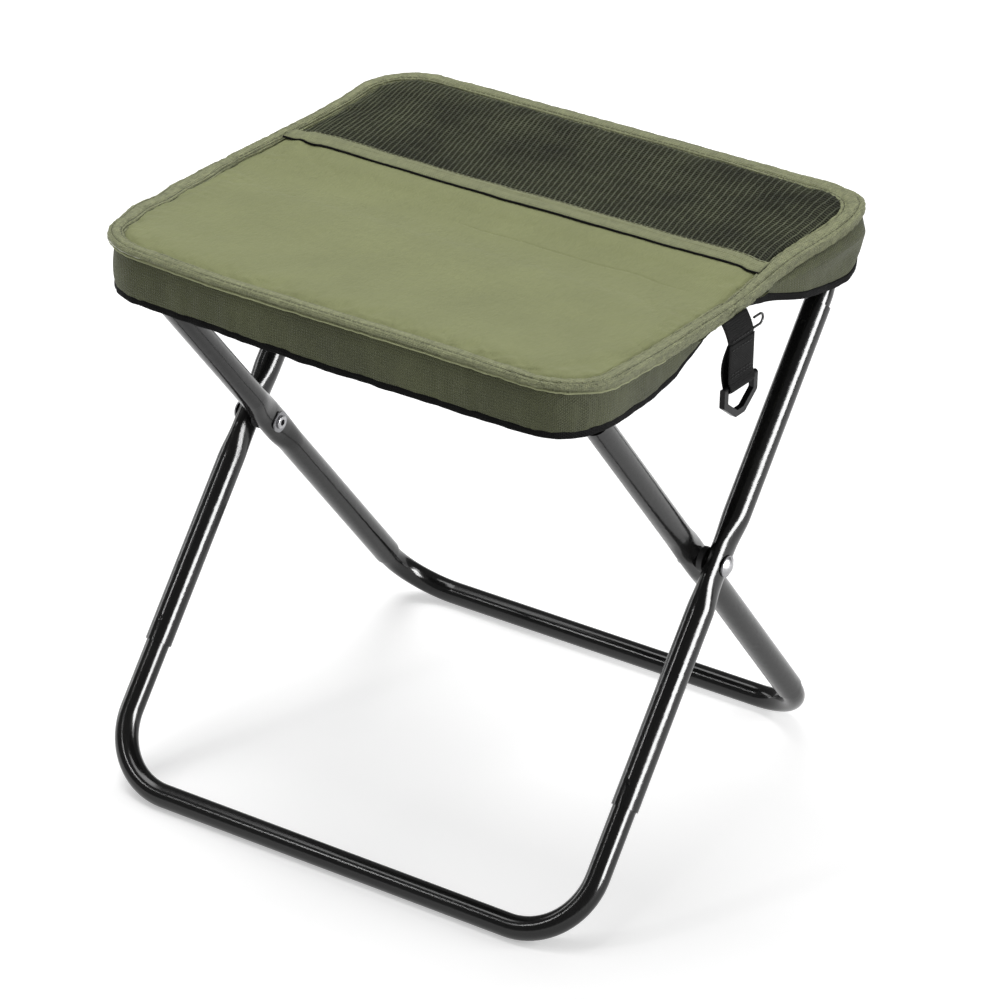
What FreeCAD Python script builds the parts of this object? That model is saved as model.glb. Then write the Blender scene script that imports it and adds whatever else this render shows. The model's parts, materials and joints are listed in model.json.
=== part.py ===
"""Folding camp stool: a scissor frame of two tube loops, two boarded seat halves and a hanging strap.

Millimetres. +X runs along the pivots to the sitter's right, +Y to the rear, +Z up.
The origin is on the floor under the middle of the stool.
"""
import FreeCAD, Part
import math
import os

from FreeCAD import Placement, Rotation, Vector

# Frame: tube sizes
leg_d = 16.0                 # straight leg tube
bend_d = 14.0                # bent foot and seat bars
bend_wall = 1.0
socket_gap = 0.05            # radial gap of a bar's end in its leg
leg_bore = bend_d + 2 * socket_gap

# Frame: places of the two loops, which are mirror images in Y apart from their width
outer_x = 161.0              # centre of an outer leg
inner_x = 144.4              # centre of an inner leg
foot_y = 147.0               # foot bar from the middle
seat_bar_y = 125.0           # seat bar from the middle
seat_bar_z = 333.5
foot_bar_z = bend_d / 2
outer_seat_bend_r = 34.0
inner_seat_bend_r = 22.0
outer_foot_bend_r = 42.0
inner_foot_bend_r = 36.0
outer_foot_joint = 83.0      # length of bar showing below an outer leg
inner_foot_joint = 40.0
outer_seat_joint = 38.0      # length of bar showing above an outer leg
inner_seat_joint = 24.0
insertion = 24.0             # how far a bar goes into its leg
dimple_depth = 0.45
dimple_r = 4.0
dimple_from_end = 14.0

# Frame: pivot
flat_mating = 6.5            # leg centre to its squashed side at the other leg
flat_head = 5.5              # leg centre to its squashed side at the rivet head
flat_width = 9.4             # half width across the squashed part
flat_length = 9.0            # half length of the squashed part
squash_length = 21.0         # length over which the tube turns from round to squashed
rivet_r = 3.0
rivet_hole_r = 3.08
rivet_head_r = 5.6
rivet_head_t = 2.6
rivet_tail_r = 4.1
rivet_tail_t = 1.4
rivet_bore_r = 1.9
rivet_bore_depth = 9.0
washer_r = 6.4
washer_t = 0.8
spacer_r = 7.5
spacer_play = 0.1

# Seat halves: plan size, and heights above the seat bar's centre
seat_tilt = 3.0              # degrees, down to the middle
seat_half_x = 165.0
seat_half_y = 155.5
seat_corner_r = 38.0
fold_height = 16.0           # height of the fold line in a seat half's own frame
panel_reach = 34.0           # stiff pieces stop this far from the fold line
cover_reach = 24.0
soft_gap = 0.4               # soft pieces stop this far from the fold line
sleeve_bore_r = 7.4
sleeve_wall = 1.0
sleeve_half_x = 108.0
flap_half_v = 16.0
lining_n = 8.5
lining_t = 0.5
lining_back = 3.0            # the lining stops this much further from the fold line
board_n = 9.1
board_t = 3.0
pad_n = 12.2
pad_t = 3.6
pad_gap = 0.3                # between the pad's edge and the piping
cover_n = 15.9
cover_t = 0.9
rim_r = 4.0
rim_n = 13.6
skirt_t = 1.0
skirt_flare = 5.5            # how far the skirt's lower edge stands out from its top
rear_widening = 5.9          # added at the rear half's sides, to pass outside the legs
skirt_flare_h = 14.0
skirt_from_fold = 22.0       # the skirt runs out this far from the fold line
binding_h = 4.5
binding_t = 1.8

# Mesh pocket on the rear half
hem_near = 40.0              # pocket mouth, measured from the middle of the stool
hem_far = 52.5
hem_half_x = 156.0
hem_t = 0.9
mesh_t = 0.6

# Strap at the right-hand end of the fold line
strap_x = 169.2              # clear of the piping, which swings past it as the stool folds
strap_yaw = 3.0              # degrees about Z
strap_width = 24.4
tab_top = 336.0
tab_bottom = 326.7
tab_t = 2.6
webbing_top = 324.8           # the strap's fold line, where its end is round
webbing_t = 2.8
ring_bar_z = 300.0
ring_bar_r = 1.7
ring_half_y = 16.4
ring_side_z = 290.0          # where the straight sides end
ring_tip_z = 280.5
ring_tip_half_y = 4.5
ring_t = 3.4
ring_side_w = 3.8
loop_clearance = 0.3
loop_wall = 1.2
wire_r = 0.7

rise = seat_bar_z - foot_bar_z
run = foot_y + seat_bar_y
leg_length = math.hypot(rise, run)                  # foot bar centre to seat bar centre
leg_slope = math.degrees(math.atan2(rise, run))
pivot_s = leg_length * foot_y / run                 # foot bar centre to pivot
pivot_z = foot_bar_z + rise * foot_y / run
gap_low = inner_x + flat_mating                     # the two legs' facing sides at the pivot
gap_high = outer_x - flat_mating

tilt = math.radians(seat_tilt)
fold_v = -(seat_bar_y - fold_height * math.sin(tilt)) / math.cos(tilt)
edge_v = (seat_half_y - seat_bar_y) / math.cos(tilt)


# ---- helpers -----------------------------------------------------------------------------

def save(name, shape):
    """Write one node as a STEP file."""
    shape.exportStep(os.path.join("parts", name + ".step"))


def cylinder(radius, start, end):
    axis = end - start
    return Part.makeCylinder(radius, axis.Length, start, axis)


def box(low, high):
    size = high - low
    return Part.makeBox(size.x, size.y, size.z, low)


def fuse(shapes):
    """One shape from touching solids, with its seams removed."""
    whole = shapes[0]
    for other in shapes[1:]:
        whole = whole.fuse(other)
    return whole.removeSplitter()


def circle_wire(radius, centre, normal):
    return Part.Wire([Part.makeCircle(radius, centre, normal)])


def group(shapes):
    return Part.makeCompound(shapes)


def mirrored(shape, normal):
    return shape.mirror(Vector(0, 0, 0), normal)


# ---- frame loops, drawn flat: X across, Y up along the leg, Z out of the loop's plane -----

def stand_loop(shape, inner):
    """Lean a flat loop up from its foot bar; the inner loop is turned front to back."""
    placed = shape.copy()
    placed.Placement = Placement(Vector(0, -foot_y, foot_bar_z),
                                 Rotation(Vector(1, 0, 0), leg_slope)).multiply(placed.Placement)
    if inner:
        placed = mirrored(placed, Vector(0, 1, 0))
    return placed


def bent_bar(leg_x, bar_s, end_s, bend_r):
    """Hollow U: a straight bar with two bends and two ends that plug into the legs."""
    way = 1 if end_s > bar_s else -1
    turn_s = bar_s + way * bend_r
    mid = bend_r * (1 - math.sqrt(0.5))
    corner_x = leg_x - bend_r
    points = [Vector(leg_x, end_s, 0), Vector(leg_x, turn_s, 0), Vector(corner_x, bar_s, 0)]
    middle = Vector(leg_x - mid, bar_s + way * mid, 0)
    left = [Vector(-p.x, p.y, 0) for p in points]
    left_middle = Vector(-middle.x, middle.y, 0)
    path = Part.Wire([
        Part.LineSegment(points[0], points[1]).toShape(),
        Part.Arc(points[1], middle, points[2]).toShape(),
        Part.LineSegment(points[2], left[2]).toShape(),
        Part.Arc(left[2], left_middle, left[1]).toShape(),
        Part.LineSegment(left[1], left[0]).toShape(),
    ])
    tubes = []
    for radius in (bend_d / 2, bend_d / 2 - bend_wall):
        profile = circle_wire(radius, points[0], Vector(0, 1, 0))
        tubes.append(path.makePipeShell([profile], True, False))
    return tubes[0].cut(tubes[1])


def squashed_section(s, radius, share):
    """Outline of a leg at height s; share goes from 0, round, to 1, squashed at the pivot."""
    wall = leg_d / 2 - radius
    half_x = radius + share * ((flat_mating + flat_head) / 2 - wall - radius)
    half_w = radius + 0.002 + share * (flat_width - wall - radius)
    shift = share * (flat_mating - flat_head) / 2
    centre = Vector(-shift, s, 0)
    ellipse = Part.Ellipse(centre + Vector(0, 0, half_w), centre + Vector(half_x, 0, 0), centre)
    return Part.Wire([ellipse.toShape()])


def leg_core(radius, low_s, high_s):
    """Solid rod along a leg, squashed about the pivot; its mating side faces -X."""
    steps = 6
    near = pivot_s - flat_length
    far = pivot_s + flat_length
    turn_in = []
    turn_out = []
    for i in range(steps + 1):
        t = i / steps
        share = t * t * (3 - 2 * t)
        turn_in.append(squashed_section(near - squash_length * (1 - t), radius, share))
        turn_out.insert(0, squashed_section(far + squash_length * (1 - t), radius, share))
    low_end = squashed_section(low_s, radius, 0.0)
    high_end = squashed_section(high_s, radius, 0.0)
    faces = [Part.Face(low_end), Part.Face(high_end)]
    faces += Part.makeLoft([low_end, turn_in[0]], False, True).Faces
    faces += Part.makeLoft(turn_in, False, False).Faces
    faces += Part.makeLoft([turn_in[-1], turn_out[0]], False, True).Faces
    faces += Part.makeLoft(turn_out, False, False).Faces
    faces += Part.makeLoft([turn_out[-1], high_end], False, True).Faces
    shell = Part.Shell(faces)
    shell.sewShape()
    rod = Part.Solid(Part.Shell(shell.Faces))
    if rod.Volume < 0:
        rod.reverse()
    return rod


def leg(low_s, high_s):
    """Leg tube about x = 0 with its mating side towards -X, its rivet hole and its crimps."""
    tube = leg_core(leg_d / 2, low_s, high_s).cut(leg_core(leg_bore / 2, low_s - 1, high_s + 1))
    tube = tube.cut(cylinder(rivet_hole_r, Vector(-leg_d, pivot_s, 0), Vector(leg_d, pivot_s, 0)))
    for s in (low_s + dimple_from_end, high_s - dimple_from_end):
        centre = Vector(0, s, leg_d / 2 - dimple_depth + dimple_r)
        tube = tube.cut(Part.makeSphere(dimple_r, centre))
    return tube


def frame_loop(inner):
    """Right leg, left leg, foot bar and seat bar of one loop, standing in place."""
    leg_x = inner_x if inner else outer_x
    foot_joint = inner_foot_joint if inner else outer_foot_joint
    seat_joint = inner_seat_joint if inner else outer_seat_joint
    foot_r = inner_foot_bend_r if inner else outer_foot_bend_r
    seat_r = inner_seat_bend_r if inner else outer_seat_bend_r
    right = leg(foot_joint, leg_length - seat_joint)
    if inner:
        right = mirrored(right, Vector(1, 0, 0))
    right = right.translate(Vector(leg_x, 0, 0))
    left = mirrored(right, Vector(1, 0, 0))
    foot = bent_bar(leg_x, 0, foot_joint + insertion, foot_r)
    seat = bent_bar(leg_x, leg_length, leg_length - seat_joint - insertion, seat_r)
    return [stand_loop(piece, inner) for piece in (right, left, foot, seat)]


# ---- pivot hardware ----------------------------------------------------------------------

def ring(outer_r, inner_r, low_x, high_x):
    centre = Vector(low_x, 0, pivot_z)
    tube = cylinder(outer_r, centre, Vector(high_x, 0, pivot_z))
    return tube.cut(cylinder(inner_r, centre - Vector(1, 0, 0), Vector(high_x + 1, 0, pivot_z)))


def rivet():
    """Right-hand rivet: a domed head outside and a rolled, hollow tail inside."""
    head_x = outer_x + flat_head + washer_t
    tail_x = inner_x - flat_head - washer_t
    sphere_r = (rivet_head_r ** 2 + rivet_head_t ** 2) / (2 * rivet_head_t)
    dome = Part.makeSphere(sphere_r, Vector(head_x + rivet_head_t - sphere_r, 0, pivot_z))
    limit = cylinder(rivet_head_r + 1, Vector(head_x, 0, pivot_z), Vector(head_x + 20, 0, pivot_z))
    shank = cylinder(rivet_r, Vector(tail_x - rivet_tail_t, 0, pivot_z), Vector(head_x, 0, pivot_z))
    tail = cylinder(rivet_tail_r, Vector(tail_x - rivet_tail_t, 0, pivot_z), Vector(tail_x, 0, pivot_z))
    tail = tail.makeFillet(rivet_tail_t * 0.45, [tail.Edges[0], tail.Edges[2]])
    bore = cylinder(rivet_bore_r, Vector(tail_x - 5, 0, pivot_z),
                    Vector(tail_x - rivet_tail_t + rivet_bore_depth, 0, pivot_z))
    return fuse([dome.common(limit), shank, tail]).cut(bore)


def both_sides(shape):
    return group([shape, mirrored(shape, Vector(1, 0, 0))])


def pivot_hardware():
    head_face = outer_x + flat_head
    tail_face = inner_x - flat_head
    head_washer = ring(washer_r, rivet_hole_r, head_face, head_face + washer_t)
    tail_washer = ring(washer_r, rivet_hole_r, tail_face - washer_t, tail_face)
    spacer = ring(spacer_r, rivet_hole_r, gap_low + spacer_play, gap_high - spacer_play)
    save("pivot_rivets", both_sides(rivet()))
    save("outer_rivet_washers", both_sides(head_washer))
    save("inner_rivet_washers", both_sides(tail_washer))
    save("pivot_spacers", both_sides(spacer))


# ---- seat halves -------------------------------------------------------------------------
# A half is drawn in its own frame: X across, V outwards from the seat bar, N up from it.

def place_half(shape, front):
    placed = shape.copy()
    placed.Placement = Placement(Vector(0, seat_bar_y, seat_bar_z),
                                 Rotation(Vector(1, 0, 0), seat_tilt)).multiply(placed.Placement)
    if front:
        placed = mirrored(placed, Vector(0, 1, 0))
    return placed


def half_outline(inset, inner_v, height, widening=0.0):
    """Closed plan outline of a half: square at the fold side, round at its two outer corners."""
    x = seat_half_x - inset + widening
    v = edge_v - inset
    r = seat_corner_r - inset
    mid = r * (1 - math.sqrt(0.5))
    a = Vector(x, inner_v, height)
    b = Vector(x, v - r, height)
    c = Vector(x - r, v, height)
    bc = Vector(x - mid, v - mid, height)
    left = [Vector(-p.x, p.y, height) for p in (a, b, c, bc)]
    return Part.Wire([
        Part.LineSegment(a, b).toShape(),
        Part.Arc(b, bc, c).toShape(),
        Part.LineSegment(c, left[2]).toShape(),
        Part.Arc(left[2], left[3], left[1]).toShape(),
        Part.LineSegment(left[1], left[0]).toShape(),
        Part.LineSegment(left[0], a).toShape(),
    ])


def plate(inset, inner_v, low_n, thickness):
    return Part.Face(half_outline(inset, inner_v, low_n)).extrude(Vector(0, 0, thickness))


def rim_tube(start_v, end_v):
    """Piping round a half from start_v to its outer edge, or two straight ends up to end_v."""
    x = seat_half_x - rim_r
    if end_v is not None:
        sides = [cylinder(rim_r, Vector(side * x, start_v, rim_n), Vector(side * x, end_v, rim_n))
                 for side in (1, -1)]
        return sides
    path = Part.Wire(half_outline(rim_r, start_v, rim_n).Edges[0:5])
    profile = circle_wire(rim_r, Vector(x, start_v, rim_n), Vector(0, 1, 0))
    return path.makePipeShell([profile], True, False)


def flared_band(thickness, inner_v, widening):
    """Closed wall under the rim that leans out by the skirt's flare, then hangs straight."""
    top_n = rim_n - rim_r
    bend_n = top_n - skirt_flare_h
    low_n = -40.0
    top_inset = rim_r - thickness / 2
    solids = []
    for extra in (0.0, thickness):
        levels = ((top_inset + extra, top_n, 0.0),
                  (top_inset + extra - skirt_flare, bend_n, widening),
                  (top_inset + extra - skirt_flare, low_n, widening))
        wires = [half_outline(inset, inner_v - extra, n, side) for inset, n, side in levels]
        solids.append(Part.makeLoft(wires, True, True))
    return solids[0].cut(solids[1])


def lower_edge(front, lift):
    """Solid that holds everything above the skirt's lower edge, raised by lift."""
    if front:
        points = [(-103.0, 10.0), (-88.0, 2.6), (-70.0, -5.0), (-43.0, -10.2), (-10.0, -10.2), (60.0, -10.2)]
    else:
        points = [(-103.0, 7.5), (-76.0, -1.0), (-45.0, -11.2), (-15.0, -18.0), (15.0, -20.5), (60.0, -20.5)]
    poles = [Vector(-220, v, n + lift) for v, n in points]
    curve = Part.BSplineCurve()
    curve.interpolate(poles)
    top = 60.0
    closing = [
        Part.LineSegment(poles[-1], Vector(-220, poles[-1].y, top)).toShape(),
        Part.LineSegment(Vector(-220, poles[-1].y, top), Vector(-220, poles[0].y, top)).toShape(),
        Part.LineSegment(Vector(-220, poles[0].y, top), poles[0]).toShape(),
    ]
    face = Part.Face(Part.Wire([curve.toShape()] + closing))
    return face.extrude(Vector(440, 0, 0))


def sleeve():
    """Fabric tunnel round the seat bar, with a flap that is sewn to the lining."""
    out = sleeve_bore_r + sleeve_wall
    tube = cylinder(out, Vector(-sleeve_half_x, 0, 0), Vector(sleeve_half_x, 0, 0))
    flap = box(Vector(-sleeve_half_x, -flap_half_v, lining_n - sleeve_wall),
               Vector(sleeve_half_x, flap_half_v, lining_n))
    bore = cylinder(sleeve_bore_r, Vector(-sleeve_half_x - 1, 0, 0), Vector(sleeve_half_x + 1, 0, 0))
    return tube.fuse(flap).cut(bore).removeSplitter()


def seat_half(front):
    name = "front" if front else "rear"
    panel_v = fold_v + panel_reach
    cover_v = fold_v + cover_reach
    soft_v = fold_v + soft_gap
    inside_rim = 2 * rim_r
    stretch = 0.2
    pieces = {
        "sleeve": sleeve(),
        "lining": plate(inside_rim, panel_v + lining_back, lining_n, lining_t),
        "board": plate(inside_rim, panel_v, board_n, board_t),
        "pad": plate(inside_rim + pad_gap, panel_v, pad_n, pad_t),
        "cover": plate(inside_rim, cover_v, cover_n, cover_t),
        "rim": rim_tube(panel_v, None),
    }
    strip = box(Vector(-seat_half_x + inside_rim, soft_v, cover_n - 2),
                Vector(seat_half_x - inside_rim, cover_v - stretch, cover_n + cover_t))
    edges = rim_tube(soft_v, panel_v - stretch)
    bridge = [box(Vector(side * (seat_half_x - inside_rim) - 2.5, soft_v, cover_n - 2),
                  Vector(side * (seat_half_x - inside_rim) + 2.5, cover_v - stretch, cover_n - 0.6))
              for side in (1, -1)]
    pieces["fold_strip"] = fuse([strip] + bridge + edges)
    skirt_end = fold_v + skirt_from_fold
    widening = 0.0 if front else rear_widening
    skirt = flared_band(skirt_t, skirt_end, widening).common(lower_edge(front, binding_h))
    binding = flared_band(binding_t, skirt_end, widening).common(lower_edge(front, 0.0))
    binding = binding.cut(lower_edge(front, binding_h - 0.02))
    cut_back = box(Vector(-220, skirt_end - 30, -60), Vector(220, skirt_end + 0.5, 60))
    pieces["skirt"] = skirt.cut(cut_back)
    pieces["binding"] = binding.cut(cut_back)
    for piece, shape in pieces.items():
        save(name + "_" + piece, place_half(shape, front))


def mesh_pocket():
    """Net over the back of the rear half, with a hem band along its open side."""
    base = cover_n + cover_t
    near_v = -(seat_bar_y - hem_near) / math.cos(tilt)
    far_v = -(seat_bar_y - hem_far) / math.cos(tilt)
    hem = box(Vector(-hem_half_x, near_v, base), Vector(hem_half_x, far_v, base + hem_t))
    mesh = plate(2 * rim_r + 0.6, far_v + 0.05, base, mesh_t)
    save("pocket_hem", place_half(hem, False))
    save("mesh_pocket", place_half(mesh, False))


# ---- strap -------------------------------------------------------------------------------
# The strap is drawn with its face square to X and its middle on y = 0, then yawed.

def place_strap(shape):
    placed = shape.copy()
    placed.rotate(Vector(strap_x, 0, 0), Vector(0, 0, 1), -strap_yaw)
    return placed


def webbing():
    """Doubled webbing that ends in a loop round the ring's top bar."""
    half = strap_width / 2
    top = Vector(strap_x - webbing_t / 2, -half, ring_bar_z)
    slab = box(top, Vector(strap_x + webbing_t / 2, half, webbing_top))
    round_end = cylinder(webbing_t / 2, Vector(strap_x, -half, webbing_top),
                         Vector(strap_x, half, webbing_top))
    loop_r = ring_bar_r + loop_clearance
    eye = cylinder(loop_r + loop_wall, Vector(strap_x, -half, ring_bar_z), Vector(strap_x, half, ring_bar_z))
    hole = cylinder(loop_r, Vector(strap_x, -half - 1, ring_bar_z), Vector(strap_x, half + 1, ring_bar_z))
    return fuse([slab, round_end, eye]).cut(hole)


def strap_ring():
    """Five-sided ring: a round top bar, two short sides and two slopes to a blunt tip."""
    def outline(inset, tip_inset):
        y = ring_half_y - inset
        tip_y = ring_tip_half_y - 0.4 * inset
        points = [Vector(strap_x, y, ring_bar_z), Vector(strap_x, y, ring_side_z + 0.5 * inset),
                  Vector(strap_x, tip_y, ring_tip_z + tip_inset)]
        points += [Vector(p.x, -p.y, p.z) for p in reversed(points)]
        return Part.makePolygon(points + [points[0]])
    outside = Part.Face(outline(0.0, 0.0)).extrude(Vector(ring_t, 0, 0))
    inside = Part.Face(outline(ring_side_w, ring_side_w)).extrude(Vector(ring_t, 0, 0))
    frame = outside.cut(inside).translate(Vector(-ring_t / 2, 0, 0))
    corners = [e for e in frame.Edges
               if abs(e.Vertexes[0].X - e.Vertexes[-1].X) > ring_t / 2 and e.Vertexes[0].Z < ring_side_z + 4]
    frame = frame.makeFillet(1.2, corners)
    bar = cylinder(ring_bar_r, Vector(strap_x, -ring_half_y, ring_bar_z),
                   Vector(strap_x, ring_half_y, ring_bar_z))
    ends = [cylinder(ring_bar_r, Vector(strap_x, side * ring_half_y, ring_bar_z),
                     Vector(strap_x, side * (ring_half_y - ring_side_w), ring_bar_z)) for side in (1, -1)]
    return fuse([frame, bar] + ends)


def wire_loop():
    """Small wire bail at the tab's rear edge: a half-round bow between two straight ends."""
    z_top = tab_top - 1.5
    z_low = tab_bottom + 1.5
    y_in = strap_width / 2
    y_out = y_in + 6.0
    r = (z_top - z_low) / 2
    x = strap_x
    top = Vector(x, y_in, z_top)
    top_turn = Vector(x, y_out, z_top)
    low_turn = Vector(x, y_out, z_low)
    low = Vector(x, y_in, z_low)
    path = Part.Wire([
        Part.LineSegment(top, top_turn).toShape(),
        Part.Arc(top_turn, Vector(x, y_out + r, z_top - r), low_turn).toShape(),
        Part.LineSegment(low_turn, low).toShape(),
    ])
    return path.makePipeShell([circle_wire(wire_r, top, Vector(0, 1, 0))], True, False)


def strap():
    half = strap_width / 2
    tab = box(Vector(strap_x - tab_t / 2, -half, tab_bottom), Vector(strap_x + tab_t / 2, half, tab_top))
    save("strap_tab", place_strap(tab))
    save("wire_loop", place_strap(wire_loop()))
    save("strap_webbing", place_strap(webbing()))
    save("strap_ring", place_strap(strap_ring()))


# ---- the stool ---------------------------------------------------------------------------

def main():
    os.makedirs("parts", exist_ok=True)
    for inner in (False, True):
        prefix = "inner" if inner else "outer"
        names = ("leg_right", "leg_left", "foot_bar", "seat_bar")
        for name, shape in zip(names, frame_loop(inner)):
            save(prefix + "_" + name, shape)
    pivot_hardware()
    seat_half(True)
    seat_half(False)
    mesh_pocket()
    strap()


main()
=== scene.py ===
import json
import math

import bmesh
import bpy
import numpy as np
from mathutils import Matrix, Vector
from mathutils.bvhtree import BVHTree


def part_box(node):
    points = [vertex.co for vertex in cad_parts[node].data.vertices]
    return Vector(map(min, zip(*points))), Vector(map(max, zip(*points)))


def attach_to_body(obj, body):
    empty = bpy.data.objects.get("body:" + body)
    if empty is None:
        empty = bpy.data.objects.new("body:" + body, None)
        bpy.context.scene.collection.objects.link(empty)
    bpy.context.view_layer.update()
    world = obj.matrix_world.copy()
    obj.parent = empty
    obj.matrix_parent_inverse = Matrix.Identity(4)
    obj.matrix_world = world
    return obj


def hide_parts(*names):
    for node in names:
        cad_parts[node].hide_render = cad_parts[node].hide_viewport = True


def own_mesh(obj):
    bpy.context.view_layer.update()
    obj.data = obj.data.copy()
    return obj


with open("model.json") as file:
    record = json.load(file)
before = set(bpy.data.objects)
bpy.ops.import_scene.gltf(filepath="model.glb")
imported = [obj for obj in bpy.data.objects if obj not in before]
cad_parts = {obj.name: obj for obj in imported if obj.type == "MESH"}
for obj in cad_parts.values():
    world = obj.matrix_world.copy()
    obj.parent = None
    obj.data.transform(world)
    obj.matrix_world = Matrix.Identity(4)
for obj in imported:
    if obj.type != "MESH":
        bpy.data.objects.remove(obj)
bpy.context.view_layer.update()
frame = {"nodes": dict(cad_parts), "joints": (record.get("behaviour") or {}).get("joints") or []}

MM = 0.001
REAR, FRONT = 1, -1
SIDES = {"front": FRONT, "rear": REAR}
TILT = math.radians(3.0)  # each seat half rises this much towards its outer edge
FOLDED_LEAN = math.radians(12.4)  # folded, each half leans this far from the plane between them

joints = {joint["name"]: joint for joint in frame["joints"]}
BAR = Vector(joints["rear_seat_fold"]["pos_m"]) / MM  # a seat bar's centre, rear half
RING_BAR = Vector(joints["ring_swing"]["pos_m"]) / MM
STRAP_YAW = math.asin(-joints["strap_swing"]["axis"][0])


# ---- places, in millimetres
# A seat half is drawn in its own frame: x across, v outwards from its seat bar, n up from it.

def ease(t):
    t = np.clip(t, 0, 1)
    return t * t * (3 - 2 * t)


def settled(side, x, v, n, lifted):
    """Where a point of the soft parts has settled: nothing soft sits quite square on the frame."""
    left = ease((-x - 60) / 105)
    right = ease((x - 60) / 105)
    upper = ease((n + 6) / 18)  # the skirts' lower edges stay put
    outer = ease((v + 60) / 90)  # the fold line stays put
    if side == FRONT:
        waist = WAIST * np.exp(-((v + 52) / 15) ** 2)
        bulge = -left * (BULGE - BULGE_FADE * ease((v + 50) / 56) - waist)
        lift = outer * (LIFT_FRONT + 2.0 * left - 1.5 * right)
        drawn_in = -2.5 * left * outer
    else:
        reach = ease((v + 66) / 55)
        corner = np.exp(-((x - HALF_X + 12) ** 2 + (v - EDGE_V + 12) ** 2) / 260)
        bulge = -left * BULGE * np.clip((-v - 22) / 98, 0, 1) ** 1.3
        bulge = bulge + right * reach * RIGHT_BULGE + CORNER_PULL * corner
        lift = outer * LIFT_REAR * (1 - 0.6 * left)
        drawn_in = 3.5 * corner
    return x + bulge * upper, v + drawn_in * upper, n + (lift * upper if lifted else 0)


def to_world(side, x, v, n, lifted=True):
    """Points of a seat half in the row frame, still in millimetres."""
    x, v, n = settled(side, *(np.asarray(a, float) for a in np.broadcast_arrays(x, v, n)), lifted)
    y = side * (BAR.y + v * math.cos(TILT) - n * math.sin(TILT))
    z = BAR.z + v * math.sin(TILT) + n * math.cos(TILT)
    return np.stack([x, y, z], axis=-1)


def half_points(node, side):
    """The corners of a CAD node as x, v, n in its seat half's frame."""
    co = np.array([vert.co for vert in frame["nodes"][node].data.vertices]) / MM
    y = side * co[:, 1] - BAR.y
    z = co[:, 2] - BAR.z
    v = y * math.cos(TILT) + z * math.sin(TILT)
    n = z * math.cos(TILT) - y * math.sin(TILT)
    return np.stack([co[:, 0], v, n], axis=-1)


rim_points = half_points("rear_rim", REAR)
sleeve_points = half_points("rear_sleeve", REAR)
LINING_N = half_points("rear_lining", REAR)[:, 2].min()
PAD_TOP = half_points("rear_pad", REAR)[:, 2].max()
COVER_TOP = half_points("rear_cover", REAR)[:, 2].max()

HALF_X = rim_points[:, 0].max()
EDGE_V = rim_points[:, 1].max()
CORNER_R = 38.0
FOLD_N = COVER_TOP - 0.8  # the fold line's height: the halves touch only there
FOLD_V = -(BAR.y - FOLD_N * math.sin(TILT)) / math.cos(TILT)
BAND_W = 9.6  # width of the rolled rim
BAND_H = 4.0  # half of its height
BAND_N = rim_points[:, 2].min() + BAND_H
BULGE = 13.2  # how far the left side bulges out beside the fold line
BULGE_FADE = 13.6  # how much of that the front half loses towards its outer edge
WAIST = 2.6  # where the front half's left side is drawn in again
RIGHT_BULGE = 5.5  # how far the rear half's right side bulges out
CORNER_PULL = 3.8  # how far the rear half's right corner is pulled out
LIFT_FRONT = 4.5  # the front edge rides this much above its board
LIFT_REAR = 1.2


def folded_floor(v):
    """Lowest height that a half may reach at v without crossing the other half when folded."""
    reach = v - FOLD_V
    return FOLD_N - reach * math.tan(FOLDED_LEAN)


def outline(step, start_v=FOLD_V):
    """Stations round a half's outer edge, right fold end to left: x, v, normal, run."""
    side_run = EDGE_V - CORNER_R - start_v
    arc_run = CORNER_R * math.pi / 2
    back_run = 2 * (HALF_X - CORNER_R)
    total = 2 * side_run + 2 * arc_run + back_run
    run = np.linspace(0, total, int(round(total / step)) + 1)
    mirrored = run > total / 2
    s = np.where(mirrored, total - run, run)
    turn = np.clip((s - side_run) / arc_run, 0, 1) * math.pi / 2
    straight = np.minimum(s, side_run)
    back = np.maximum(s - side_run - arc_run, 0)
    x = HALF_X - CORNER_R + CORNER_R * np.cos(turn) - back
    v = start_v + straight + CORNER_R * np.sin(turn)
    nx = np.cos(turn)
    nv = np.sin(turn)
    flip = np.where(mirrored, -1, 1)
    return x * flip, v, nx * flip, nv, run


# ---- smooth random waves, the same on each run

def wave(along, length, seed):
    """Smooth random wave along one coordinate, between about -1 and 1."""
    knots = np.random.default_rng(seed).uniform(-1, 1, 1024)
    t = along / length + 300
    i = np.floor(t).astype(int)
    f = ease(t - i)
    return knots[i % 1024] * (1 - f) + knots[(i + 1) % 1024] * f


def ripple(a, b, length_a, length_b, seed):
    """Smooth random relief over two coordinates, between about -1 and 1."""
    knots = np.random.default_rng(seed).uniform(-1, 1, (256, 256))
    s = a / length_a + 100
    t = b / length_b + 100
    i = np.floor(s).astype(int)
    j = np.floor(t).astype(int)
    f = ease(s - i)
    g = ease(t - j)
    low = knots[i % 256, j % 256] * (1 - f) + knots[(i + 1) % 256, j % 256] * f
    high = knots[i % 256, (j + 1) % 256] * (1 - f) + knots[(i + 1) % 256, (j + 1) % 256] * f
    return low * (1 - g) + high * g


# ---- meshes

def directions(path):
    """Unit directions along a row of points."""
    tangent = np.gradient(path, axis=0)
    return tangent / np.linalg.norm(tangent, axis=1)[:, None]


def squarish(value, power):
    """A sine or cosine bent so that the curve it draws has squarer corners."""
    return np.sign(value) * np.abs(value) ** power


def grid_faces(rows, columns, closed=False):
    """Quads of a grid of points; closed, its last column joins its first."""
    faces = []
    for start in range(0, (rows - 1) * columns, columns):
        for j in range(columns if closed else columns - 1):
            a = start + j
            b = start + (j + 1) % columns
            faces.append((a, b, b + columns, a + columns))
    return faces


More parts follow.
